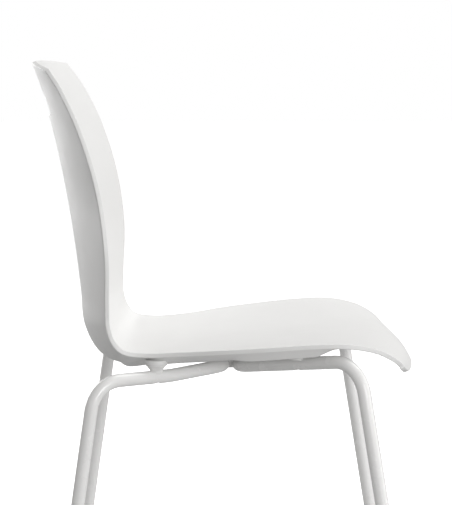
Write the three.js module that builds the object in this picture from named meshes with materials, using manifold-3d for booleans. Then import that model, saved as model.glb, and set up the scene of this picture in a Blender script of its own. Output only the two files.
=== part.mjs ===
// Stacking chair: a moulded one-piece shell on a frame of two bent tube hoops.
// Millimetres. +X is the sitter's left, -Y is the way the sitter faces, +Z is up.
// The origin is on the floor, under the middle of the chair's bounding box.
import * as THREE from "three";
import { mergeVertices } from "three/addons/utils/BufferGeometryUtils.js";
import Module from "manifold-3d";

const wasm = await Module();
wasm.setup();

// ---- Driving dimensions ----

const shellSize = {
  seatHeight: 461, // floor to the highest point of the seat's side rims
  backRise: 365.5, // from there to the top of the back
  seatWidth: 450, // widest, near the front
  backWidth: 444, // widest, at a third of the back's height
  waistWidth: 350, // narrowest, where the seat turns up into the back
  topWidth: 322, // between the top corners of the back
  frontReach: 267, // middle of the chair to the front lip
  rearReach: 260.5, // middle of the chair to the sitting side of the back's top edge
  wall: 6.5,
};
const platform = {
  extra: 5.5, // how much thicker the underside is where the frame carries it
  rearY: 150,
  frontY: -118,
  rearRamp: 12,
  frontRamp: 34,
  sideRamp: 12,
  flankExtra: 4, // how much thicker again towards the sides, in front
  flankStart: 161,
  flankRamp: 40,
  flankRear: 0,
  rearCurve: 50, // how far the rear boundary has come forward at the sides
};
const grip = { width: 150, height: 39, topDrop: 33, archRadius: 165, corner: 9 };
const tube = { diameter: 18, wall: 1.5, sides: 12, bend: 42, kinkBend: 60 };
const rearLegs = { footSpacing: 448, footY: 228, topSpacing: 419, topY: 170 };
const frontLegs = { footSpacing: 508, footY: -250, topSpacing: 476.6, topY: -178 };
const crossbars = { gap: 3.6, middleY: -10.8, rearHalf: 75, frontHalf: 78 };
const kink = { x: 155.6, y: 72 };
// The waist is narrow here: from y 75 to 90 the rear pads stay inside the rim, and further back they run off it.
const rearMount = { y: 90, padDrop: 1.5, spacerHeight: 8.5 };
const frontMount = { y: -102, padDrop: 0.5, spacerHeight: 3.2 };
const spacer = { topDiameter: 29, footDiameter: 16, lip: 1.2, saddleDepth: 3 };
const screw = { shank: 5, head: 8.5, headHeight: 5, key: 4, keyDepth: 2.5, grip: 6 };
const insert = { wall: 1.2, groove: 0.5, length: 7 };
const accessHole = 11;
const weld = { length: 20, height: 10, inset: 12 };
const glide = { diameter: 21, height: 10, plugLength: 22, edge: 1.5 };

const padDepth = 6; // how far the pads reach up into the shell
const clearance = 0.3; // between pieces that touch
const holeClearance = 0.4; // round a screw's shank

const tubeRadius = tube.diameter / 2;
const boreRadius = tubeRadius - tube.wall;
const insertRadius = screw.shank / 2 + insert.wall;

// ---- Materials ----

const material = (color, roughness, metalness = 0) =>
  new THREE.MeshStandardMaterial({ color, roughness, metalness });
const shellPlastic = material(0xf1f0ee, 0.38);
const frameLacquer = material(0xecebe8, 0.32);
const whiteNylon = material(0xe9e8e5, 0.5);
const greyNylon = material(0xb9b8b5, 0.6);
const zincSteel = material(0xb4b6ba, 0.35, 1);
const brass = material(0xc2a55a, 0.4, 1);

// ---- Solids: joining and cutting ----

function toSolid(geometry) {
  const bare = geometry.clone();
  for (const name of Object.keys(bare.attributes)) {
    if (name !== "position") bare.deleteAttribute(name);
  }
  const merged = mergeVertices(bare, 1e-4);
  return new wasm.Manifold(
    new wasm.Mesh({
      numProp: 3,
      vertProperties: new Float32Array(merged.attributes.position.array),
      triVerts: new Uint32Array(merged.index.array),
    }),
  );
}

function toGeometry(solid) {
  const mesh = solid.getMesh();
  const geometry = new THREE.BufferGeometry();
  geometry.setAttribute("position", new THREE.BufferAttribute(mesh.vertProperties, 3));
  geometry.setIndex(new THREE.BufferAttribute(mesh.triVerts, 1));
  geometry.computeVertexNormals();
  return geometry;
}

function named(name, geometry, look) {
  const mesh = new THREE.Mesh(geometry, look);
  mesh.name = name;
  return mesh;
}

// An upright cylinder or cone between two heights, centred on (x, y).
function upright(x, y, bottom, top, bottomRadius, topRadius = bottomRadius, sides = 24) {
  return new THREE.CylinderGeometry(topRadius, bottomRadius, top - bottom, sides)
    .rotateX(Math.PI / 2)
    .translate(x, y, (bottom + top) / 2);
}

// ---- Places that the shell and the frame share: each mount is on its arm ----

const frontCrossbarY = crossbars.middleY - (tube.diameter + crossbars.gap) / 2;
const rearCrossbarY = crossbars.middleY + (tube.diameter + crossbars.gap) / 2;
const rearArmShare = (rearMount.y - kink.y) / (rearLegs.topY - kink.y);
const frontArmShare =
  (frontMount.y - frontCrossbarY) / (frontLegs.topY - frontCrossbarY);
const mounts = {
  rear: { ...rearMount, x: kink.x + (rearLegs.topSpacing / 2 - kink.x) * rearArmShare },
  front: {
    ...frontMount,
    x:
      crossbars.frontHalf +
      (frontLegs.topSpacing / 2 - crossbars.frontHalf) * frontArmShare,
  },
};

// ---- The shell's surface ----

// Each station runs across the shell: a point on the middle line and one on the right rim.
// Heights above the seat are shares of the back's rise; y is measured from the middle of the chair.
const backTop = shellSize.seatHeight + shellSize.backRise;
const rise = (share) => shellSize.seatHeight + shellSize.backRise * share;
const reach = (share) => -shellSize.frontReach * share;
const lean = (share) => shellSize.rearReach * share;
const below = (drop) => shellSize.seatHeight - drop;
const halfBack = shellSize.backWidth / 2;
const halfSeat = shellSize.seatWidth / 2;
const halfWaist = shellSize.waistWidth / 2;
const halfTop = shellSize.topWidth / 2;
const between = (a, b, share) => a + (b - a) * share;
const backAt = (share) => between(halfTop, halfBack, share);
const waistAt = (share) => between(halfWaist, halfBack, share);
const seatAt = (share) => between(halfWaist, halfSeat, share);

// middle: [y, z]; rim: [x, y, z]; bowl: how flat the section is before it turns up to the rim
const stations = [
  { middle: [lean(1), backTop], rim: [halfTop, lean(0.885), backTop - 7], bowl: 2.2 },
  { middle: [lean(0.953), rise(0.906)], rim: [backAt(0.29), lean(0.812), rise(0.906)], bowl: 2.2 },
  { middle: [lean(0.893), rise(0.742)], rim: [backAt(0.67), lean(0.703), rise(0.745)], bowl: 2.2 },
  { middle: [lean(0.829), rise(0.531)], rim: [backAt(0.89), lean(0.614), rise(0.534)], bowl: 2.2 },
  { middle: [lean(0.779), rise(0.312)], rim: [halfBack, lean(0.574), rise(0.315)], bowl: 2.2 },
  { middle: [lean(0.747), rise(0.126)], rim: [waistAt(0.53), lean(0.578), rise(0.12)], bowl: 2.2 },
  { middle: [190, below(1)], rim: [waistAt(0.32), 150, rise(0.047)], bowl: 2.2 },
  { middle: [171, below(35.5)], rim: [waistAt(0.19), 143, below(5)], bowl: 2.1 },
  { middle: [143, below(50)], rim: [waistAt(0.07), 131, below(16.5)], bowl: 1.9 },
  { middle: [105, below(47)], rim: [halfWaist, 105, below(20.5)], bowl: 1.8 },
  { middle: [55, below(40)], rim: [seatAt(0.16), 55, below(18)], bowl: 2.2 },
  { middle: [0, below(31)], rim: [seatAt(0.59), 0, below(12)], bowl: 2.9 },
  { middle: [reach(0.225), below(22)], rim: [seatAt(0.88), reach(0.225), below(6.3)], bowl: 3.4 },
  { middle: [reach(0.45), below(15.5)], rim: [halfSeat, reach(0.442), below(1.5)], bowl: 3.6 },
  { middle: [reach(0.637), below(13)], rim: [halfSeat, reach(0.618), below(1)], bowl: 3.6 },
  { middle: [reach(0.787), below(15.5)], rim: [halfSeat - 7, reach(0.76), below(8.5)], bowl: 3.8 },
  { middle: [reach(0.891), below(23.5)], rim: [halfSeat - 15.5, reach(0.839), below(19)], bowl: 4 },
  { middle: [reach(0.959), below(37.5)], rim: [halfSeat - 24.5, reach(0.88), below(27.5)], bowl: 4.2 },
  { middle: [reach(1), below(55.5)], rim: [halfSeat - 35, reach(0.904), below(35.5)], bowl: 4.5 },
];
const sweepBow = 1.8; // how the sections bow forward from the middle line to the rim

const middleLine = new THREE.CatmullRomCurve3(
  stations.map((s) => new THREE.Vector3(0, ...s.middle)),
  false,
  "centripetal",
);
const rimLine = new THREE.CatmullRomCurve3(
  stations.map((s) => new THREE.Vector3(...s.rim)),
  false,
  "centripetal",
);

// A point on the sitting side: along runs 0 to 1 from the top of the back to the lip, across -1 to 1.
function sittingPoint(along, across) {
  const middle = middleLine.getPoint(along);
  const rim = rimLine.getPoint(along);
  const place = along * (stations.length - 1);
  const i = Math.min(Math.floor(place), stations.length - 2);
  const bowl = between(stations[i].bowl, stations[i + 1].bowl, place - i);
  const side = Math.abs(across);
  return new THREE.Vector3(
    rim.x * across,
    between(middle.y, rim.y, side ** sweepBow),
    between(middle.z, rim.z, side ** bowl),
  );
}

// The unit normal that points away from the sitter.
function outward(along, across) {
  const step = 1e-3;
  const a = Math.min(Math.max(along, step), 1 - step);
  const c = Math.min(Math.max(across, -1 + step), 1 - step);
  const down = sittingPoint(a + step, c).sub(sittingPoint(a - step, c));
  const over = sittingPoint(a, c + step).sub(sittingPoint(a, c - step));
  return over.cross(down).normalize();
}

const smooth = (x) => THREE.MathUtils.smoothstep(x, 0, 1);

// The wall, thicker on the platform under the seat.
function wallAt(point, across) {
  const rimX = Math.abs(point.x / (across || 1));
  const fromRim = across ? rimX - Math.abs(point.x) : platform.sideRamp;
  const rearEdge = platform.rearY - platform.rearCurve * (point.x / mounts.rear.x) ** 2;
  const rear = smooth((rearEdge - point.y) / platform.rearRamp);
  const front = smooth((point.y - platform.frontY + platform.frontRamp) / platform.frontRamp);
  const side = smooth(fromRim / platform.sideRamp);
  const outer = smooth((Math.abs(point.x) - platform.flankStart) / platform.flankRamp);
  const flank = outer * smooth((platform.flankRear - point.y) / platform.flankRamp);
  const extra = platform.extra + platform.flankExtra * flank;
  return shellSize.wall + extra * rear * front * side;
}

function underPoint(along, across) {
  const point = sittingPoint(along, across);
  return point.clone().addScaledVector(outward(along, across), wallAt(point, across));
}

// The height of the underside over a place on the floor, by stepping along and across to it.
function undersideHeight(x, y) {
  let along = 0.6;
  let across = 0.5;
  for (let turn = 0; turn < 40; turn += 1) {
    const here = underPoint(along, across);
    const step = 1e-3;
    const ahead = underPoint(along + step, across);
    const aside = underPoint(along, across + step);
    along += (0.8 * (y - here.y) * step) / (ahead.y - here.y);
    across += (0.8 * (x - here.x) * step) / (aside.x - here.x);
    along = Math.min(Math.max(along, 0.4), 0.95);
    across = Math.min(Math.max(across, 0), 0.995);
  }
  return underPoint(along, across).z;
}

function shellGeometry() {
  const rows = (stations.length - 1) * 2;
  const columns = 14;
  const positions = [];
  for (const pointAt of [sittingPoint, underPoint]) {
    for (let r = 0; r <= rows; r += 1) {
      for (let c = 0; c <= columns; c += 1) {
        const p = pointAt(r / rows, (2 * c) / columns - 1);
        positions.push(p.x, p.y, p.z);
      }
    }
  }
  const layer = (rows + 1) * (columns + 1);
  const at = (r, c, under) => r * (columns + 1) + c + (under ? layer : 0);
  const index = [];
  const quad = (a, b, c, d) => index.push(a, b, c, a, c, d);
  for (let r = 0; r < rows; r += 1) {
    for (let c = 0; c < columns; c += 1) {
      quad(at(r, c), at(r + 1, c), at(r + 1, c + 1), at(r, c + 1));
      quad(at(r, c, 1), at(r, c + 1, 1), at(r + 1, c + 1, 1), at(r + 1, c, 1));
    }
    quad(at(r, 0), at(r, 0, 1), at(r + 1, 0, 1), at(r + 1, 0));
    quad(at(r, columns), at(r + 1, columns), at(r + 1, columns, 1), at(r, columns, 1));
  }
  for (let c = 0; c < columns; c += 1) {
    quad(at(0, c), at(0, c + 1), at(0, c + 1, 1), at(0, c, 1));
    quad(at(rows, c), at(rows, c, 1), at(rows, c + 1, 1), at(rows, c + 1));
  }
  const geometry = new THREE.BufferGeometry();
  geometry.setAttribute("position", new THREE.Float32BufferAttribute(positions, 3));
  geometry.setIndex(index);
  return geometry;
}

// ---- Heights that the shell sets for the frame ----

for (const mount of Object.values(mounts)) {
  mount.padHeight = undersideHeight(mount.x, mount.y) - mount.padDrop;
  mount.tubeHeight = mount.padHeight - mount.spacerHeight - tubeRadius;
}
const rearArmHeight = mounts.rear.tubeHeight;
const frontLegTop =
  rearArmHeight + (mounts.front.tubeHeight - rearArmHeight) / frontArmShare;

// ---- Bent tubes ----

// Straight runs between corners, each corner rounded to a bend radius.
class BentTube extends THREE.Curve {
  constructor(corners, bends, bendSteps) {
    super();
    this.marks = [];
    corners.forEach((corner, i) => {
      if (i === 0 || i === corners.length - 1) {
        const other = corners[i === 0 ? 1 : i - 1];
        const way = corner.clone().sub(other).normalize();
        this.marks.push({ point: corner, tangent: i === 0 ? way.negate() : way });
        return;
      }
      const before = corner.clone().sub(corners[i - 1]).normalize();
      const after = corners[i + 1].clone().sub(corner).normalize();
      const turn = before.angleTo(after);
      const inset = bends[i - 1] * Math.tan(turn / 2);
      const start = corner.clone().addScaledVector(before, -inset);
      const inward = after.clone().addScaledVector(before, -before.dot(after)).normalize();
      for (let s = 0; s <= bendSteps[i - 1]; s += 1) {
        const angle = (turn * s) / bendSteps[i - 1];
        const point = start
          .clone()
          .addScaledVector(before, bends[i - 1] * Math.sin(angle))
          .addScaledVector(inward, bends[i - 1] * (1 - Math.cos(angle)));
        const tangent = before
          .clone()
          .multiplyScalar(Math.cos(angle))
          .addScaledVector(inward, Math.sin(angle));
        this.marks.push({ point, tangent });
      }
    });
  }
  mark(share) {
    return this.marks[Math.round(share * (this.marks.length - 1))];
  }
  getPoint(share, target = new THREE.Vector3()) {
    return target.copy(this.mark(share).point);
  }
  getPointAt(share, target) {
    return this.getPoint(share, target);
  }
  getTangent(share, target = new THREE.Vector3()) {
    return target.copy(this.mark(share).tangent);
  }
  getTangentAt(share, target) {
    return this.getTangent(share, target);
  }
  get steps() {
    return this.marks.length - 1;
  }
}

function ring(radius) {
  const points = [];
  for (let s = 0; s < tube.sides; s += 1) {
    const angle = (2 * Math.PI * (s + 0.5)) / tube.sides;
    points.push(new THREE.Vector2(radius * Math.cos(angle), radius * Math.sin(angle)));
  }
  return points;
}

// The tube's own solid, or a bar of another radius along the same route.
function sweep(route, radius, bore = 0) {
  const section = new THREE.Shape(ring(radius));
  if (bore) section.holes.push(new THREE.Path(ring(bore)));
  return toSolid(
    new THREE.ExtrudeGeometry(section, { steps: route.steps, extrudePath: route }),
  );
}

const mirrored = (points) => points.map((p) => new THREE.Vector3(-p.x, p.y, p.z)).reverse();

function legAxis(legs, topHeight) {
  const foot = new THREE.Vector3(legs.footSpacing / 2, legs.footY, 0);
  const top = new THREE.Vector3(legs.topSpacing / 2, legs.topY, topHeight);
  const way = top.clone().sub(foot).normalize();
  return { top, way, end: foot.addScaledVector(way, glide.height / way.z) };
}

const rearLeg = legAxis(rearLegs, rearArmHeight);
const frontLeg = legAxis(frontLegs, frontLegTop);

function hoopRoute(half, bends, bendSteps) {
  return new BentTube(
    [...half, ...mirrored(half)],
    [...bends, ...[...bends].reverse()],
    [...bendSteps, ...[...bendSteps].reverse()],
  );
}

const rearRoute = hoopRoute(
  [
    rearLeg.end,
    rearLeg.top,
    new THREE.Vector3(kink.x, kink.y, rearArmHeight),
    new THREE.Vector3(crossbars.rearHalf, rearCrossbarY, rearArmHeight),
  ],
  [tube.bend, tube.kinkBend, tube.bend],
  [6, 2, 3],
);
const frontRoute = hoopRoute(
  [
    frontLeg.end,
    frontLeg.top,
    new THREE.Vector3(crossbars.frontHalf, frontCrossbarY, rearArmHeight),
  ],
  [tube.bend, tube.bend],
  [6, 3],
);

// ---- Pieces ----

function gripShape() {
  const half = grip.width / 2;
  const halfChord = half - grip.corner;
  const archDrop = grip.archRadius - Math.sqrt(grip.archRadius ** 2 - halfChord ** 2);
  const shape = new THREE.Shape();
  const bottom = -grip.height;
  shape.moveTo(-half + grip.corner, bottom);
  shape.lineTo(half - grip.corner, bottom);
  shape.absarc(half - grip.corner, bottom + grip.corner, grip.corner, -Math.PI / 2, 0);
  shape.absarc(half - grip.corner, -archDrop - grip.corner, grip.corner, 0, Math.PI / 2.4);
  shape.quadraticCurveTo(0, archDrop * 0.95, -half + grip.corner * 0.75, -archDrop);
  shape.absarc(-half + grip.corner, -archDrop - grip.corner, grip.corner, Math.PI / 1.7, Math.PI);
  shape.absarc(-half + grip.corner, bottom + grip.corner, grip.corner, Math.PI, 1.5 * Math.PI);
  return shape;
}

// The shell's pads are flat round faces, each with a pocket for its threaded insert.
function shell() {
  const slot = new THREE.ExtrudeGeometry(gripShape(), {
    depth: 120,
    bevelEnabled: false,
    curveSegments: 4,
  })
    .rotateX(Math.PI / 2)
    .translate(0, shellSize.rearReach + 60, backTop - grip.topDrop);
  let solid = toSolid(shellGeometry()).subtract(toSolid(slot));
  const padRadius = spacer.topDiameter / 2 + clearance;
  const pocketRadius = insertRadius + clearance;
  for (const mount of Object.values(mounts)) {
    for (const side of [-1, 1]) {
      const x = side * mount.x;
      const face = mount.padHeight;
      const pad = upright(x, mount.y, face, face + padDepth, padRadius);
      const faceCut = upright(x, mount.y, face - 12, face, padRadius);
      const pocket = upright(x, mount.y, face - 1, face + insert.length + clearance, pocketRadius);
      solid = solid.add(toSolid(pad)).subtract(toSolid(faceCut)).subtract(toSolid(pocket));
    }
  }
  return named("seat_shell", toGeometry(solid), shellPlastic);
}

function hoop(name, route, mount) {
  let solid = sweep(route, tubeRadius, boreRadius);
  for (const side of [-1, 1]) {
    const x = side * mount.x;
    const z = mount.tubeHeight;
    const clear = screw.shank / 2 + holeClearance;
    solid = solid
      .subtract(toSolid(upright(x, mount.y, z, z + tube.diameter, clear)))
      .subtract(toSolid(upright(x, mount.y, z - tube.diameter, z, accessHole / 2)));
  }
  return named(name, toGeometry(solid), frameLacquer);
}

// A spacer carries the shell's pad on the tube, with a saddle that straddles the tube.
function spacerPiece(name, side, mount, route, footDiameter) {
  const x = side * mount.x;
  const top = mount.padHeight - clearance;
  const crest = mount.tubeHeight + tubeRadius;
  const lipBottom = top - spacer.lip;
  const body = upright(
    x,
    mount.y,
    crest - spacer.saddleDepth,
    lipBottom,
    footDiameter / 2,
    spacer.topDiameter / 2,
  );
  const lip = upright(x, mount.y, lipBottom - 0.01, top, spacer.topDiameter / 2);
  const bore = upright(x, mount.y, crest - 10, top + 1, screw.shank / 2 + holeClearance);
  const solid = toSolid(body)
    .add(toSolid(lip))
    .subtract(sweep(route, tubeRadius + clearance))
    .subtract(toSolid(bore));
  return named(name, toGeometry(solid), whiteNylon);
}

// The head bears on the inside of the tube's upper wall, and the shank ends in the insert.
function screwPiece(name, side, mount) {
  const facetedBore = boreRadius * Math.cos(Math.PI / tube.sides) - clearance;
  const headTop = Math.sqrt(facetedBore ** 2 - (screw.head / 2) ** 2);
  const tip = mount.padHeight - mount.tubeHeight + screw.grip;
  const profile = [
    [0, headTop - screw.headHeight],
    [screw.head / 2 - 0.5, headTop - screw.headHeight],
    [screw.head / 2, headTop - screw.headHeight + 0.5],
    [screw.head / 2, headTop],
    [screw.shank / 2, headTop],
    [screw.shank / 2, tip - 0.8],
    [screw.shank / 2 - 0.8, tip],
    [0, tip],
  ].map(([r, h]) => new THREE.Vector2(r, h));
  const body = new THREE.LatheGeometry(profile, 20).rotateX(Math.PI / 2);
  const key = new THREE.CylinderGeometry(
    screw.key / Math.sqrt(3),
    screw.key / Math.sqrt(3),
    2 * screw.keyDepth,
    6,
  )
    .rotateX(Math.PI / 2)
    .translate(0, 0, headTop - screw.headHeight);
  const mesh = named(name, toGeometry(toSolid(body).subtract(toSolid(key))), zincSteel);
  mesh.position.set(side * mount.x, mount.y, mount.tubeHeight);
  return mesh;
}

function insertPiece(name, side, mount) {
  const inner = screw.shank / 2 + clearance;
  const outer = insertRadius;
  const waist = outer - insert.groove;
  const profile = [
    [inner, 0],
    [outer, 0],
    [outer, insert.length * 0.38],
    [waist, insert.length * 0.46],
    [waist, insert.length * 0.54],
    [outer, insert.length * 0.62],
    [outer, insert.length],
    [inner, insert.length],
    [inner, 0],
  ].map(([r, h]) => new THREE.Vector2(r, h));
  const geometry = new THREE.LatheGeometry(profile, 20).rotateX(Math.PI / 2);
  const mesh = named(name, geometry, brass);
  mesh.position.set(side * mount.x, mount.y, mount.padHeight);
  return mesh;
}

// A weld bridge fills the gap between the two crossbars.
function weldPiece(name, side) {
  const straightHalf = Math.min(crossbars.rearHalf, crossbars.frontHalf) - weld.inset;
  const x = side * (straightHalf - weld.length / 2);
  const block = new THREE.BoxGeometry(
    weld.length,
    tube.diameter / 2 + crossbars.gap,
    weld.height,
  ).translate(x, crossbars.middleY, rearArmHeight);
  const solid = toSolid(block)
    .subtract(sweep(rearRoute, tubeRadius + clearance))
    .subtract(sweep(frontRoute, tubeRadius + clearance));
  return named(name, toGeometry(solid), frameLacquer);
}

// A foot glide: a plug in the end of the leg and a foot, cut level with the floor.
function glidePiece(name, side, leg) {
  const foot = glide.diameter / 2;
  const plug = boreRadius * Math.cos(Math.PI / tube.sides) - clearance;
  const sole = -2 * glide.height;
  const profile = [
    [0, sole],
    [foot - glide.edge, sole],
    [foot - glide.edge, -glide.height],
    [foot, -glide.height + glide.edge],
    [foot, -clearance - glide.edge],
    [foot - glide.edge, -clearance],
    [plug, -clearance],
    [plug, glide.plugLength - glide.edge],
    [plug - glide.edge, glide.plugLength],
    [0, glide.plugLength],
  ].map(([r, h]) => new THREE.Vector2(r, h));
  const way = new THREE.Vector3(side * leg.way.x, leg.way.y, leg.way.z);
  const turn = new THREE.Quaternion().setFromUnitVectors(new THREE.Vector3(0, 0, 1), way);
  const body = new THREE.LatheGeometry(profile, 24)
    .rotateX(Math.PI / 2)
    .applyQuaternion(turn)
    .translate(side * leg.end.x, leg.end.y, leg.end.z);
  const belowFloor = new THREE.BoxGeometry(100, 100, 100).translate(
    side * leg.end.x,
    leg.end.y,
    -50,
  );
  return named(name, toGeometry(toSolid(body).subtract(toSolid(belowFloor))), greyNylon);
}

// ---- The chair ----

const chair = new THREE.Group();
const frame = new THREE.Group();
frame.add(hoop("rear_frame_hoop", rearRoute, mounts.rear));
frame.add(hoop("front_frame_hoop", frontRoute, mounts.front));
chair.add(shell(), frame);
for (const [sideName, side] of [
  ["right", -1],
  ["left", 1],
]) {
  frame.add(weldPiece("crossbar_weld_" + sideName, side));
  const { footDiameter, topDiameter } = spacer;
  chair.add(spacerPiece("rear_spacer_" + sideName, side, mounts.rear, rearRoute, footDiameter));
  chair.add(spacerPiece("front_spacer_" + sideName, side, mounts.front, frontRoute, topDiameter));
  for (const [endName, mount, leg] of [
    ["rear", mounts.rear, rearLeg],
    ["front", mounts.front, frontLeg],
  ]) {
    const where = endName + "_" + sideName;
    chair.add(screwPiece("seat_screw_" + where, side, mount));
    chair.add(insertPiece("threaded_insert_" + where, side, mount));
    chair.add(glidePiece("foot_glide_" + where, side, leg));
  }
}

export default chair;
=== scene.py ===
"""The looks of a white stacking chair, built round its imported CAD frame.

Lengths are in millimetres until a mesh is made. The frame is the CAD's: +X is the sitter's left, -Y is the
way the sitter faces, and +Z is up from the floor."""

import math

import bmesh
import bpy
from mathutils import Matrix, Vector


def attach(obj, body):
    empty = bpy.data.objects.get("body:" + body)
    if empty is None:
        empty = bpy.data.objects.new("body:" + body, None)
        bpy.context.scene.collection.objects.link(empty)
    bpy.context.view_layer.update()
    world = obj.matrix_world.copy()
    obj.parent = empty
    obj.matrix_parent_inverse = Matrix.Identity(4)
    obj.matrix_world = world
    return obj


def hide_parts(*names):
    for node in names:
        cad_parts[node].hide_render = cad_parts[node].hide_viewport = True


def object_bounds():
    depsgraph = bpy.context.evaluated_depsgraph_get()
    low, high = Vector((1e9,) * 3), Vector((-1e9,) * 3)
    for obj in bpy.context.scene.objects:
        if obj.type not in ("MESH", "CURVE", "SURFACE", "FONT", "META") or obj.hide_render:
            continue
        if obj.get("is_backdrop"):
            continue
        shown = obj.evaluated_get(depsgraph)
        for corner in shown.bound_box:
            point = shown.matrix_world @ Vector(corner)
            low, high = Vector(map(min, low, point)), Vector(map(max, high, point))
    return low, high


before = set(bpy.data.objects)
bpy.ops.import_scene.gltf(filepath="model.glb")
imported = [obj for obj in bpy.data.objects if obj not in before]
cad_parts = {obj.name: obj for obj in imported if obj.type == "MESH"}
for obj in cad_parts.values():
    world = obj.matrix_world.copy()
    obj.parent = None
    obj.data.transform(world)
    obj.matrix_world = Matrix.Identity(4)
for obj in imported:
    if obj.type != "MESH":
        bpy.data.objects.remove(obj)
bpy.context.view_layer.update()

MM = 0.001

# ---- Sizes, the same as the solids have ----

SEAT_HEIGHT = 461.0
BACK_RISE = 365.5
FRONT_REACH = 267.0
REAR_REACH = 260.5
HALF_SEAT = 225.0
HALF_BACK = 222.0
HALF_WAIST = 175.0
HALF_TOP = 161.0
WALL = 6.5
SWEEP_BOW = 1.8

PLATFORM_EXTRA = 5.5
PLATFORM_REAR = 150.0
PLATFORM_FRONT = -118.0
PLATFORM_REAR_RAMP = 12.0
PLATFORM_FRONT_RAMP = 34.0
PLATFORM_SIDE_RAMP = 12.0
PLATFORM_REAR_CURVE = 50.0
FLANK_EXTRA = 4.0
FLANK_START = 161.0
FLANK_RAMP = 40.0
FLANK_REAR = 0.0

GRIP_WIDTH = 150.0
GRIP_HEIGHT = 39.0
GRIP_DROP = 33.0
GRIP_ARCH = 165.0
GRIP_CORNER = 9.0

TUBE_RADIUS = 9.0
BORE_RADIUS = 7.5
BEND = 42.0
KINK_BEND = 60.0
ARM_HEIGHT = 406.3787
REAR_FOOT = Vector((224.0, 228.0, 0.0))
REAR_LEG_TOP = Vector((209.5, 170.0, ARM_HEIGHT))
KINK = Vector((155.6, 72.0, ARM_HEIGHT))
REAR_CROSSBAR_END = Vector((75.0, 0.0, ARM_HEIGHT))
FRONT_FOOT = Vector((254.0, -250.0, 0.0))
FRONT_LEG_TOP = Vector((238.3, -178.0, 439.8597))
FRONT_CROSSBAR_END = Vector((78.0, -21.6, ARM_HEIGHT))
REAR_MOUNT = Vector((165.5, 90.0, 406.3787))
REAR_PAD = 423.8787
FRONT_MOUNT = Vector((160.4049, -102.0, 423.5902))
FRONT_PAD = 435.7902
PAD_RADIUS = 14.8
PAD_REACH = 6.0  # how far a pad reaches up into the shell
PAD_CLEARING = 12.0  # how far below a pad nothing of the shell is left
POCKET_RADIUS = 4.0  # the pocket that holds a threaded insert
POCKET_TOP = 7.3
POCKET_START = -2.0
SHANK_HOLE_RADIUS = 2.9
ACCESS_RADIUS = 5.5
SPACER_RADIUS = 14.5
SPACER_FOOT_RADIUS = 8.0
SADDLE_DEPTH = 3.0
FOOT_HEIGHT = 10.0
GAP = 0.3  # between pieces that touch

TUBE_SIDES = 40
CREASE = 35.0  # degrees: edges sharper than this stay sharp

# ---- Materials ----


def node_material(name):
    material = bpy.data.materials.new(name)
    material.use_nodes = True
    return material, material.node_tree.nodes, material.node_tree.links


def add(nodes, kind, **settings):
    node = nodes.new(kind)
    for key, value in settings.items():
        if key in node.inputs:
            node.inputs[key].default_value = value
        else:
            setattr(node, key, value)
    return node


def noise(nodes, links, scale, detail=3.0, roughness=0.5):
    place = add(nodes, "ShaderNodeTexCoord")
    made = add(nodes, "ShaderNodeTexNoise", Scale=scale, Detail=detail, Roughness=roughness)
    links.new(place.outputs["Object"], made.inputs["Vector"])
    return made.outputs["Fac"]


def ramp(nodes, links, factor, stops):
    made = add(nodes, "ShaderNodeValToRGB")
    ends = made.color_ramp.elements
    while len(ends) < len(stops):
        ends.new(0.5)
    for end, (place, color) in zip(ends, stops):
        end.position = place
        end.color = (*color, 1.0) if len(color) == 3 else color
    links.new(factor, made.inputs["Fac"])
    return made.outputs["Color"]


def grey(value):
    return (value, value, value)


def finish_material(name, colors, rough, bumps, metallic=0.0, patch=6.0, patch_detail=4.0, **shader):
    """A Principled material whose colour and roughness drift in patches, with a stack of bumps.
    colors and rough are (low, high); bumps are (scale, detail, distance in metres, strength)."""
    material, nodes, links = node_material(name)
    surface = nodes["Principled BSDF"]
    surface.inputs["Metallic"].default_value = metallic
    for key, value in shader.items():
        surface.inputs[key.replace("_", " ")].default_value = value
    patches = noise(nodes, links, patch, patch_detail)
    color = ramp(nodes, links, patches, [(0.35, colors[0]), (0.65, colors[1])])
    links.new(color, surface.inputs["Base Color"])
    rubbed = noise(nodes, links, patch * 5.0, 5.0, 0.6)
    links.new(
        ramp(nodes, links, rubbed, [(0.3, grey(rough[0])), (0.7, grey(rough[1]))]),
        surface.inputs["Roughness"],
    )
    normal = None
    for scale, detail, distance, strength in bumps:
        bump = add(nodes, "ShaderNodeBump", Distance=distance, Strength=strength)
        links.new(noise(nodes, links, scale, detail), bump.inputs["Height"])
        if normal is not None:
            links.new(normal, bump.inputs["Normal"])
        normal = bump.outputs["Normal"]
    links.new(normal, surface.inputs["Normal"])
    return material


# Moulded polypropylene: a fine spark-eroded grain over a very slight waviness, and soft patches of sheen.
shell_white = finish_material(
    "shell_plastic",
    ((0.775, 0.772, 0.764), (0.798, 0.795, 0.787)),
    (0.40, 0.50),
    [(38.0, 2.0, 0.0012, 0.04), (2600.0, 2.0, 0.00005, 0.25)],
    Specular_IOR_Level=0.42,
)
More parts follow.
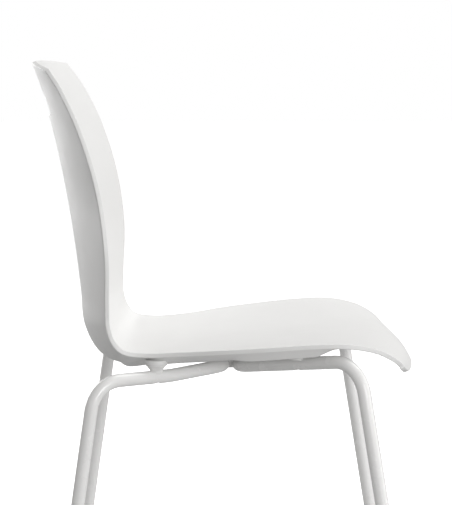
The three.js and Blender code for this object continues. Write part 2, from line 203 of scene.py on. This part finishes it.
# Powder coat: a low orange peel under a hard gloss.
frame_white = finish_material(
    "frame_powder_coat",
    ((0.862, 0.858, 0.850), (0.885, 0.881, 0.873)),
    (0.20, 0.30),
    [(420.0, 2.0, 0.00012, 0.08)],
    Specular_IOR_Level=0.5,
    Coat_Weight=0.35,
    Coat_Roughness=0.12,
)
spacer_nylon = finish_material(
    "spacer_nylon",
    ((0.840, 0.836, 0.824), (0.870, 0.866, 0.855)),
    (0.36, 0.48),
    [(900.0, 3.0, 0.00008, 0.35)],
    patch=60.0,
)
glide_nylon = finish_material(
    "glide_nylon",
    ((0.300, 0.298, 0.292), (0.370, 0.367, 0.360)),
    (0.45, 0.65),
    [(500.0, 5.0, 0.00015, 0.5)],
    patch=80.0,
)
zinc_steel = finish_material(
    "zinc_steel",
    ((0.520, 0.530, 0.545), (0.620, 0.625, 0.640)),
    (0.25, 0.42),
    [(1600.0, 4.0, 0.00005, 0.5)],
    metallic=1.0,
    patch=200.0,
)
insert_brass = finish_material(
    "insert_brass",
    ((0.560, 0.400, 0.150), (0.680, 0.500, 0.220)),
    (0.30, 0.50),
    [(1400.0, 4.0, 0.00006, 0.5)],
    metallic=1.0,
    patch=200.0,
)
weld_white = finish_material(
    "weld_powder_coat",
    ((0.770, 0.766, 0.758), (0.810, 0.806, 0.798)),
    (0.24, 0.36),
    [(260.0, 3.0, 0.0006, 0.6)],
    patch=120.0,
)

# ---- Mesh helpers ----


def outward_mesh(name, vertices, faces):
    """A mesh from millimetre vertices, with its faces turned outwards."""
    mesh = bpy.data.meshes.new(name)
    mesh.from_pydata([Vector(v) * MM for v in vertices], [], faces)
    work = bmesh.new()
    work.from_mesh(mesh)
    bmesh.ops.recalc_face_normals(work, faces=work.faces)
    work.to_mesh(mesh)
    work.free()
    return mesh


def make_object(name, vertices, faces, material, sharp=CREASE):
    """A smooth-shaded object on the root body, with edges sharper than an angle kept."""
    mesh = outward_mesh(name, vertices, faces)
    made = bpy.data.objects.new(name, mesh)
    bpy.context.scene.collection.objects.link(made)
    made.data.materials.append(material)
    smooth_by_angle(made, sharp)
    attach(made, "root")
    return made


def smooth_by_angle(piece, sharp=CREASE):
    piece.data.shade_smooth()
    piece.data.set_sharp_from_angle(angle=math.radians(sharp))


def cut(piece, vertices, faces, operation="DIFFERENCE"):
    """Takes a closed solid out of a piece for good, or joins it on."""
    mesh = outward_mesh("cutter", vertices, faces)
    cutter = bpy.data.objects.new("cutter", mesh)
    bpy.context.scene.collection.objects.link(cutter)
    modifier = piece.modifiers.new("cut", "BOOLEAN")
    modifier.operation = operation
    modifier.solver = "EXACT"
    modifier.object = cutter
    graph = bpy.context.evaluated_depsgraph_get()
    result = bpy.data.meshes.new_from_object(piece.evaluated_get(graph))
    piece.modifiers.clear()
    old = piece.data
    piece.data = result
    bpy.data.meshes.remove(old)
    bpy.data.objects.remove(cutter)
    bpy.data.meshes.remove(mesh)


def rings_mesh(rings, close_ends=True, loop=False):
    """Vertices and faces of a skin over rings that all have the same number of points."""
    count = len(rings[0])
    vertices = [p for ring in rings for p in ring]
    faces = []
    last = len(rings) if loop else len(rings) - 1
    for r in range(last):
        a, b = r * count, (r + 1) % len(rings) * count
        for i in range(count):
            j = (i + 1) % count
            faces.append((a + i, a + j, b + j, b + i))
    if close_ends and not loop:
        faces.append(tuple(range(count))[::-1])
        faces.append(tuple(range(len(vertices) - count, len(vertices))))
    return vertices, faces


def circle(centre, across, up, radius, sides):
    turn = 2.0 * math.pi / sides
    return [
        centre + across * (radius * math.cos(i * turn)) + up * (radius * math.sin(i * turn))
        for i in range(sides)
    ]


def turned(profile, place, way=Vector((0, 0, 1)), sides=40):
    """A lathe's rings about an axis: profile is (radius, height) from one end to the other."""
    turn = Vector((0, 0, 1)).rotation_difference(way)
    across, up = turn @ Vector((1, 0, 0)), turn @ Vector((0, 1, 0))
    return [circle(place + way * h, across, up, max(r, 0.01), sides) for r, h in profile]


def rounded(profile, corners, steps=4):
    """A profile with a small arc at each corner given as index: radius."""
    out = []
    for i, (r, h) in enumerate(profile):
        size = corners.get(i)
        if not size:
            out.append((r, h))
            continue
        here = Vector((r, h))
        before = Vector(profile[i - 1]) - here
        after = Vector(profile[i + 1]) - here
        size = min(size, before.length * 0.49, after.length * 0.49)
        start = here + before.normalized() * size
        end = here + after.normalized() * size
        for s in range(steps + 1):
            t = s / steps
            p = start * (1 - t) ** 2 + here * (2 * t * (1 - t)) + end * t**2
            out.append((p.x, p.y))
    return out


# ---- The shell's surface ----


def mix(a, b, share):
    return a + (b - a) * share


def rise(share):
    return SEAT_HEIGHT + BACK_RISE * share


def back_at(share):
    return mix(HALF_TOP, HALF_BACK, share)


def waist_at(share):
    return mix(HALF_WAIST, HALF_BACK, share)


def seat_at(share):
    return mix(HALF_WAIST, HALF_SEAT, share)


BACK_TOP = SEAT_HEIGHT + BACK_RISE
REAR, FRONT, S = REAR_REACH, -FRONT_REACH, SEAT_HEIGHT

# middle y, z; rim x, y, z; how flat the section is before it turns up to the rim
STATIONS = [
    (REAR, BACK_TOP, HALF_TOP, REAR * 0.885, BACK_TOP - 7, 2.2),
    (REAR * 0.953, rise(0.906), back_at(0.29), REAR * 0.812, rise(0.906), 2.2),
    (REAR * 0.893, rise(0.742), back_at(0.67), REAR * 0.703, rise(0.745), 2.2),
    (REAR * 0.829, rise(0.531), back_at(0.89), REAR * 0.614, rise(0.534), 2.2),
    (REAR * 0.779, rise(0.312), HALF_BACK, REAR * 0.574, rise(0.315), 2.2),
    (REAR * 0.747, rise(0.126), waist_at(0.53), REAR * 0.578, rise(0.12), 2.2),
    (190, S - 1, waist_at(0.32), 150, rise(0.047), 2.2),
    (171, S - 35.5, waist_at(0.19), 143, S - 5, 2.1),
    (143, S - 50, waist_at(0.07), 131, S - 16.5, 1.9),
    (105, S - 47, HALF_WAIST, 105, S - 20.5, 1.8),
    (55, S - 40, seat_at(0.16), 55, S - 18, 2.2),
    (0, S - 31, seat_at(0.59), 0, S - 12, 2.9),
    (FRONT * 0.225, S - 22, seat_at(0.88), FRONT * 0.225, S - 6.3, 3.4),
    (FRONT * 0.45, S - 15.5, HALF_SEAT, FRONT * 0.442, S - 1.5, 3.6),
    (FRONT * 0.637, S - 13, HALF_SEAT, FRONT * 0.618, S - 1, 3.6),
    (FRONT * 0.787, S - 15.5, HALF_SEAT - 7, FRONT * 0.76, S - 8.5, 3.8),
    (FRONT * 0.891, S - 23.5, HALF_SEAT - 15.5, FRONT * 0.839, S - 19, 4.0),
    (FRONT * 0.959, S - 37.5, HALF_SEAT - 24.5, FRONT * 0.88, S - 27.5, 4.2),
    (FRONT, S - 55.5, HALF_SEAT - 35, FRONT * 0.904, S - 35.5, 4.5),
]


def centripetal(points, share):
    """A point on the centripetal Catmull-Rom curve through points, share running from 0 to 1."""
    place = share * (len(points) - 1)
    i = min(int(place), len(points) - 2)
    t = place - i
    p1, p2 = points[i], points[i + 1]
    p0 = points[i - 1] if i > 0 else p1 * 2 - p2
    p3 = points[i + 2] if i + 2 < len(points) else p2 * 2 - p1
    d0, d1, d2 = ((b - a).length_squared ** 0.25 for a, b in ((p0, p1), (p1, p2), (p2, p3)))
    m1 = ((p1 - p0) / d0 - (p2 - p0) / (d0 + d1) + (p2 - p1) / d1) * d1
    m2 = ((p2 - p1) / d1 - (p3 - p1) / (d1 + d2) + (p3 - p2) / d2) * d1
    c2 = p1 * -3 + p2 * 3 - m1 * 2 - m2
    c3 = p1 * 2 - p2 * 2 + m1 + m2
    return p1 + m1 * t + c2 * t**2 + c3 * t**3


MIDDLE_LINE = [Vector((0, s[0], s[1])) for s in STATIONS]
RIM_LINE = [Vector(s[2:5]) for s in STATIONS]


def section(along):
    place = along * (len(STATIONS) - 1)
    i = min(int(place), len(STATIONS) - 2)
    bowl = mix(STATIONS[i][5], STATIONS[i + 1][5], place - i)
    return centripetal(MIDDLE_LINE, along), centripetal(RIM_LINE, along), bowl


def sitting_point(cut_across, across):
    middle, rim, bowl = cut_across
    side = abs(across)
    return Vector((
        rim.x * across,
        mix(middle.y, rim.y, side**SWEEP_BOW),
        mix(middle.z, rim.z, side**bowl),
    ))


def smooth(x):
    x = min(max(x, 0.0), 1.0)
    return x * x * (3 - 2 * x)


def wall_at(point, rim_x):
    rear_edge = PLATFORM_REAR - PLATFORM_REAR_CURVE * (point.x / REAR_MOUNT.x) ** 2
    rear = smooth((rear_edge - point.y) / PLATFORM_REAR_RAMP)
    front = smooth((point.y - PLATFORM_FRONT + PLATFORM_FRONT_RAMP) / PLATFORM_FRONT_RAMP)
    side = smooth((rim_x - abs(point.x)) / PLATFORM_SIDE_RAMP)
    outer = smooth((abs(point.x) - FLANK_START) / FLANK_RAMP)
    extra = PLATFORM_EXTRA + FLANK_EXTRA * outer * smooth((FLANK_REAR - point.y) / FLANK_RAMP)
    return WALL + extra * rear * front * side


ROWS_PER_STATION = 10
EDGE_RADIUS = 1.3
EDGE_STEPS = (0.0, 0.06, 0.2, 0.45, 1.0)


def edge_inset(distance):
    """How far a face has dropped at a distance from an arris rounded to EDGE_RADIUS."""
    if distance >= EDGE_RADIUS:
        return 0.0
    return EDGE_RADIUS - math.sqrt(EDGE_RADIUS**2 - (EDGE_RADIUS - distance) ** 2)


def shell_grid():
    """The sitting side and the underside as two grids of points, closed round their rim."""
    rows = (len(STATIONS) - 1) * ROWS_PER_STATION
    step = 1e-3
    lengthwise = [r / rows for r in range(1, rows)]
    half = [i / 40 for i in range(0, 40)]
    sitting, under = [], []
    cuts_at = {}

    def at(share):
        share = min(max(share, 0.0), 1.0)
        if share not in cuts_at:
            cuts_at[share] = section(share)
        return cuts_at[share]

    # Rows close to the two ends, for the round of the top edge and of the lip.
    first = (at(step)[0] - at(0.0)[0]).length / step
    last = (at(1.0)[0] - at(1.0 - step)[0]).length / step
    ends_top = [(EDGE_RADIUS * e) / first for e in EDGE_STEPS]
    ends_lip = [1.0 - (EDGE_RADIUS * e) / last for e in EDGE_STEPS]
    shares = ends_top + [s for s in lengthwise if ends_top[-1] + 0.002 < s < ends_lip[-1] - 0.002]
    shares += ends_lip[::-1]
    for share in shares:
        here = at(share)
        rim_x = here[1].x
        near = [1.0 - EDGE_RADIUS * e / rim_x for e in EDGE_STEPS]
        side = [c for c in half if c < near[-1] - 0.004] + near[::-1]
        across = [-c for c in side[:0:-1]] + side
        end_distance = min(share * first, (1.0 - share) * last)
        a = min(max(share, step), 1 - step)
        before, after = at(a - step), at(a + step)
        top_row, under_row = [], []
        for c in across:
            k = min(max(c, -1 + step), 1 - step)
            down = sitting_point(after, k) - sitting_point(before, k)
            over = sitting_point(here, k + step) - sitting_point(here, k - step)
            normal = over.cross(down).normalized()
            point = sitting_point(here, c)
            wall = wall_at(point, rim_x)
            inset = edge_inset(min(rim_x * (1 - abs(c)), end_distance))
            top_row.append(point + normal * inset)
            under_row.append(point + normal * (wall - inset))
        sitting.append(top_row)
        under.append(under_row)
    return sitting, under


def shell_mesh():
    sitting, under = shell_grid()
    rings = [top + under_row[::-1] for top, under_row in zip(sitting, under)]
    vertices, faces = rings_mesh(rings, close_ends=False)
    count = len(rings[0])
    half = count // 2
    for row in (0, len(rings) - 1):
        base = row * count
        for i in range(half - 1):
            faces.append((base + i, base + i + 1, base + count - 2 - i, base + count - 1 - i))
    return vertices, faces


# ---- The hand hole's cutter ----


def arc(cx, cy, radius, start, end, steps=6):
    return [
        Vector((
            cx + radius * math.cos(mix(start, end, i / steps)),
            cy + radius * math.sin(mix(start, end, i / steps)),
        ))
        for i in range(steps + 1)
    ]


def grip_outline():
    """The hand hole seen from the front, as points (x, z) anticlockwise from its bottom left."""
    half, top, c = GRIP_WIDTH / 2, BACK_TOP - GRIP_DROP, GRIP_CORNER
    bottom = top - GRIP_HEIGHT
    drop = GRIP_ARCH - math.sqrt(GRIP_ARCH**2 - (half - c) ** 2)
    shoulder = top - drop - c
    points = [Vector((mix(-half + c, half - c, i / 24), bottom)) for i in range(24)]
    points += arc(half - c, bottom + c, c, -math.pi / 2, 0)
    points += arc(half - c, shoulder, c, 0, math.pi / 2.4)
    start, end = points[-1], Vector((-half + c * 0.75, top - drop))
    for i in range(1, 32):
        t = i / 32
        points.append(start * (1 - t) ** 2 + Vector((0, top + drop * 0.95)) * (2 * t * (1 - t)) + end * t**2)
    points.append(end)
    points += arc(-half + c, shoulder, c, math.pi / 1.7, math.pi)
    points += arc(-half + c, bottom + c, c, math.pi, 1.5 * math.pi)[:-1]
    kept = [points[0]]
    for p in points[1:]:
        if (p - kept[-1]).length > 0.4:
            kept.append(p)
    return kept


def place_on_back(x, z):
    """The sitting side's point and normal over a place on the back, found by stepping to it."""
    along, across = 0.12, x / 190.0
    step = 1e-3
    for _ in range(30):
        here = sitting_point(section(along), across)
        ahead = sitting_point(section(along + step), across)
        along += (z - here.z) * step / (ahead.z - here.z) * 0.9
        along = min(max(along, 0.01), 0.4)
        across = x / section(along)[1].x
    here = section(along)
    down = sitting_point(section(along + step), across) - sitting_point(section(along - step), across)
    over = sitting_point(here, across + step) - sitting_point(here, across - step)
    return sitting_point(here, across), over.cross(down).normalized()


def grip_cutter():
    """A plug through the back that flares at both faces, so that the hole's edges come out round.
    It reaches far past both faces, because its ends are flat and the back is curved."""
    lip, end_flare, reach, steps = 2.2, 3.0, 14.0, 5
    outline = grip_outline()
    n = len(outline)
    depths = [(-reach, lip + end_flare)]
    for s in range(steps + 1):
        turn = math.pi / 2 * s / steps
        depths.append((lip * (1 - math.cos(turn)), lip * (1 - math.sin(turn))))
    depths += [(WALL - d, flare) for d, flare in depths[::-1]]
    rings = []
    for i, p in enumerate(outline):
        tangent = outline[(i + 1) % n] - outline[i - 1]
        out = Vector((tangent.y, -tangent.x)).normalized()
        point, normal = place_on_back(p.x, p.y)
        out3 = Vector((out.x, 0, out.y))
        out3 = (out3 - normal * out3.dot(normal)).normalized()
        rings.append([point + normal * depth + out3 * flare for depth, flare in depths])
    stacked = [[ring[k] for ring in rings] for k in range(len(depths))]
    return rings_mesh(stacked)


shell = make_object("seat_shell_skin", *shell_mesh(), shell_white, sharp=50)
cut(shell, *grip_cutter())
for side in (-1, 1):
    for mount, pad in ((REAR_MOUNT, REAR_PAD), (FRONT_MOUNT, FRONT_PAD)):
        place = Vector((side * mount.x, mount.y, 0))
        boss = turned([(PAD_RADIUS, pad), (PAD_RADIUS, pad + PAD_REACH)], place, sides=48)
        cut(shell, *rings_mesh(boss), operation="UNION")
        below = turned([(PAD_RADIUS, pad - PAD_CLEARING), (PAD_RADIUS, pad)], place, sides=48)
        cut(shell, *rings_mesh(below))
        ends = [(POCKET_RADIUS, pad + POCKET_START), (POCKET_RADIUS, pad + POCKET_TOP)]
        cut(shell, *rings_mesh(turned(ends, place, sides=24)))
smooth_by_angle(shell, 32)
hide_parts("seat_shell")

# ---- The bent tubes ----


def bent_route(corners, bends, steps=14):
    """Points and tangents along straight runs whose corners are rounded to bend radii."""
    marks = []
    for i, corner in enumerate(corners):
        if i in (0, len(corners) - 1):
            other = corners[1] if i == 0 else corners[-2]
            way = (other - corner if i == 0 else corner - other).normalized()
            marks.append((corner, way))
            continue
        before = (corner - corners[i - 1]).normalized()
        after = (corners[i + 1] - corner).normalized()
        turn = before.angle(after)
        radius = bends[i - 1]
        start = corner - before * (radius * math.tan(turn / 2))
        inward = (after - before * before.dot(after)).normalized()
        for s in range(steps + 1):
            angle = turn * s / steps
            ahead, aside = radius * math.sin(angle), radius * (1 - math.cos(angle))
            point = start + before * ahead + inward * aside
            marks.append((point, before * math.cos(angle) + inward * math.sin(angle)))
    return marks


def tube_rings(marks, radius, sides=TUBE_SIDES):
    """Rings along a route, carried from each to the next without twist."""
    way = marks[0][1]
    across = way.orthogonal().normalized()
    rings = []
    for point, tangent in marks:
        across = way.rotation_difference(tangent) @ across
        across = (across - tangent * across.dot(tangent)).normalized()
        way = tangent
        rings.append(circle(point, across, tangent.cross(across), radius, sides))
    return rings


def leg(foot, top):
    """Where a leg's tube ends, just above the floor, and the way that it runs up."""
    way = (top - foot).normalized()
    return foot + way * (FOOT_HEIGHT / way.z), way


def hoop(name, half, bends, mount):
    """A hollow hoop mirrored from one half's corners, drilled for its screws. Returns its route."""
    corners = half + [Vector((-p.x, p.y, p.z)) for p in half[::-1]]
    marks = bent_route(corners, bends + bends[::-1])
    outer = tube_rings(marks, TUBE_RADIUS)
    inner = tube_rings(marks, BORE_RADIUS)
    vertices, faces = rings_mesh(outer + inner[::-1], loop=True)
    made = make_object(name + "_skin", vertices, faces, frame_white)
    for side in (-1, 1):
        place = Vector((side * mount.x, mount.y, mount.z))
        past = 2 * TUBE_RADIUS
        shank = turned([(SHANK_HOLE_RADIUS, 0.0), (SHANK_HOLE_RADIUS, past)], place, sides=24)
        cut(made, *rings_mesh(shank))
        access = turned([(ACCESS_RADIUS, -past), (ACCESS_RADIUS, 0.0)], place, sides=32)
        cut(made, *rings_mesh(access))
    smooth_by_angle(made)
    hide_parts(name)
    return marks


rear_foot, rear_way = leg(REAR_FOOT, REAR_LEG_TOP)
front_foot, front_way = leg(FRONT_FOOT, FRONT_LEG_TOP)
rear_corners = [rear_foot, REAR_LEG_TOP, KINK, REAR_CROSSBAR_END]
front_corners = [front_foot, FRONT_LEG_TOP, FRONT_CROSSBAR_END]
rear_marks = hoop("rear_frame_hoop", rear_corners, [BEND, KINK_BEND, BEND], REAR_MOUNT)
front_marks = hoop("front_frame_hoop", front_corners, [BEND, BEND], FRONT_MOUNT)

# ---- Spacers, glides and welds ----

SIDES = ((-1, "right"), (1, "left"))

for side, side_name in SIDES:
    place = Vector((side * REAR_MOUNT.x, REAR_MOUNT.y, 0))
    top = REAR_PAD - GAP
    crest = REAR_MOUNT.z + TUBE_RADIUS
    cone = [
        (SHANK_HOLE_RADIUS, crest - SADDLE_DEPTH),
        (SPACER_FOOT_RADIUS, crest - SADDLE_DEPTH),
        (SPACER_FOOT_RADIUS + 0.25, crest + 0.4),
        (SPACER_RADIUS - 1.2, top - 1.5),
        (SPACER_RADIUS, top - 1.15),
        (SPACER_RADIUS, top),
        (SHANK_HOLE_RADIUS, top),
    ]
    cone = rounded(cone, {2: 1.5, 3: 0.8, 4: 0.35, 5: 0.35})
    vertices, faces = rings_mesh(turned(cone, place, sides=56), loop=True)
    spacer = make_object("rear_spacer_skin_" + side_name, vertices, faces, spacer_nylon)
    cut(spacer, *rings_mesh(tube_rings(rear_marks, TUBE_RADIUS + GAP / 2, sides=64)))
    smooth_by_angle(spacer)
    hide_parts("rear_spacer_" + side_name)

    place = Vector((side * FRONT_MOUNT.x, FRONT_MOUNT.y, 0))
    top = FRONT_PAD - GAP
    crest = FRONT_MOUNT.z + TUBE_RADIUS
    saddle = [
        (SHANK_HOLE_RADIUS, crest - SADDLE_DEPTH),
        (SPACER_RADIUS, crest - SADDLE_DEPTH),
        (SPACER_RADIUS, top),
        (SHANK_HOLE_RADIUS, top),
    ]
    saddle = rounded(saddle, {1: 0.8, 2: 0.5})
    vertices, faces = rings_mesh(turned(saddle, place, sides=56), loop=True)
    spacer = make_object("front_spacer_skin_" + side_name, vertices, faces, spacer_nylon)
    cut(spacer, *rings_mesh(tube_rings(front_marks, TUBE_RADIUS + GAP / 2, sides=64)))
    smooth_by_angle(spacer)
    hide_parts("front_spacer_" + side_name)

    for end_name, foot, way in (("rear", rear_foot, rear_way), ("front", front_foot, front_way)):
        place = Vector((side * foot.x, foot.y, foot.z))
        way = Vector((side * way.x, way.y, way.z))
        # From below the floor, through the foot's flange, up into the tube's bore.
        body = [
            (0.0, -20.0),
            (9.0, -20.0),
            (9.0, -10.0),
            (10.3, -8.4),
            (10.4, -2.2),
            (9.4, -GAP),
            (7.0, -GAP),
            (7.0, 20.5),
            (5.6, 22.0),
            (0.0, 22.0),
        ]
        body = rounded(body, {2: 1.2, 3: 1.0, 4: 1.4, 5: 0.6, 7: 0.8, 8: 0.8})
        vertices, faces = rings_mesh(turned(body, place, way, sides=48))
        glide = make_object("foot_glide_skin_" + end_name + "_" + side_name, vertices, faces, glide_nylon)
        # The sole is flat on the floor, whatever way the leg leans.
        deep, wide = 60.0, 30.0
        corners = ((-wide, -wide), (wide, -wide), (wide, wide), (-wide, wide))
        low = [Vector((place.x + a, place.y + b, -deep)) for a, b in corners]
        cut(glide, *rings_mesh([low, [p + Vector((0, 0, deep)) for p in low]]))
        smooth_by_angle(glide)
        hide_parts("foot_glide_" + end_name + "_" + side_name)

CAD_LOOKS = {"seat_screw": zinc_steel, "threaded_insert": insert_brass, "crossbar_weld": weld_white}
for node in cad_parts:
    for start, look in CAD_LOOKS.items():
        if node.startswith(start):
            piece = bpy.data.objects[node]
            if not piece.material_slots:
                piece.data.materials.append(look)
            for slot in piece.material_slots:
                slot.material = look

# ---- Floor, light and camera ----

FLOOR_REACH = 14.0  # metres each way
floor_mesh = bpy.data.meshes.new("floor")
floor_corners = [(x * FLOOR_REACH, y * FLOOR_REACH, 0) for x, y in ((-1, -1), (1, -1), (1, 1), (-1, 1))]
floor_mesh.from_pydata(floor_corners, [], [(0, 1, 2, 3)])
floor = bpy.data.objects.new("floor", floor_mesh)
bpy.context.scene.collection.objects.link(floor)
floor_look, nodes, links = node_material("floor_paper")
surface = nodes["Principled BSDF"]
surface.inputs["Roughness"].default_value = 0.9
surface.inputs["Specular IOR Level"].default_value = 0.1
tone = ramp(nodes, links, noise(nodes, links, 1.5, 2.0), [(0.3, grey(0.86)), (0.7, grey(0.88))])
links.new(tone, surface.inputs["Base Color"])
# Paper lit from behind for the eye only, so that it stays white and still takes a soft shadow.
seen = add(nodes, "ShaderNodeLightPath")
glow = add(nodes, "ShaderNodeEmission", Strength=0.72)
dark = add(nodes, "ShaderNodeBsdfDiffuse", Color=(0.42, 0.42, 0.42, 1.0))
lit = add(nodes, "ShaderNodeAddShader")
choose = add(nodes, "ShaderNodeMixShader")
links.new(surface.outputs["BSDF"], lit.inputs[0])
links.new(glow.outputs["Emission"], lit.inputs[1])
links.new(seen.outputs["Is Camera Ray"], choose.inputs["Fac"])
links.new(dark.outputs["BSDF"], choose.inputs[1])
links.new(lit.outputs["Shader"], choose.inputs[2])
links.new(choose.outputs["Shader"], nodes["Material Output"].inputs["Surface"])
floor.data.materials.append(floor_look)
floor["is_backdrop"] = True

world = bpy.data.worlds.new("studio")
bpy.context.scene.world = world
world.use_nodes = True
nodes, links = world.node_tree.nodes, world.node_tree.links
backdrop = nodes["Background"]
backdrop.inputs["Color"].default_value = (1.0, 1.0, 1.0, 1.0)
backdrop.inputs["Strength"].default_value = 1.0
fill = add(nodes, "ShaderNodeBackground", Color=(1.0, 0.995, 0.985, 1.0), Strength=0.42)
seen = add(nodes, "ShaderNodeLightPath")
choose = add(nodes, "ShaderNodeMixShader")
links.new(seen.outputs["Is Camera Ray"], choose.inputs["Fac"])
links.new(fill.outputs["Background"], choose.inputs[1])
links.new(backdrop.outputs["Background"], choose.inputs[2])
links.new(choose.outputs["Shader"], nodes["World Output"].inputs["Surface"])


def softbox(name, place, target, wide, high, power):
    data = bpy.data.lights.new(name, "AREA")
    data.shape = "RECTANGLE"
    data.size, data.size_y, data.energy = wide, high, power
    made = bpy.data.objects.new(name, data)
    made.location = place
    made.rotation_mode = "QUATERNION"
    made.rotation_quaternion = (Vector(target) - Vector(place)).to_track_quat("-Z", "Y")
    bpy.context.scene.collection.objects.link(made)


softbox("overhead_softbox", (0.9, -0.7, 2.8), (0, 0, 0.5), 2.4, 2.4, 45.0)
softbox("front_softbox", (-0.6, -3.2, 1.1), (0, 0, 0.5), 1.4, 2.0, 26.0)
softbox("far_softbox", (2.75, 2.15, 1.0), (0, 0.2, 0.6), 2.4, 1.8, 48.0)
softbox("side_softbox", (-3.2, -1.7, 1.0), (0, 0, 0.4), 1.2, 1.4, 44.0)

camera_data = bpy.data.cameras.new("camera")
camera = bpy.data.objects.new("camera", camera_data)
bpy.context.scene.collection.objects.link(camera)
bpy.context.scene.camera = camera
LONG_SIDE = 505
FOCAL_LENGTH_IN_FRAME = 2066.0
camera_data.sensor_width = 36.0
camera_data.lens = FOCAL_LENGTH_IN_FRAME * camera_data.sensor_width / LONG_SIDE
camera.location = (-2.907, 0.002, 0.894)
pitch, yaw = math.atan(240.5 / FOCAL_LENGTH_IN_FRAME), math.radians(0.12)
look = Vector((math.cos(yaw) * math.cos(pitch), -math.sin(yaw) * math.cos(pitch), -math.sin(pitch)))
camera.rotation_mode = "QUATERNION"
camera.rotation_quaternion = look.to_track_quat("-Z", "Y")

bpy.context.scene.view_settings.view_transform = "Standard"

low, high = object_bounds()
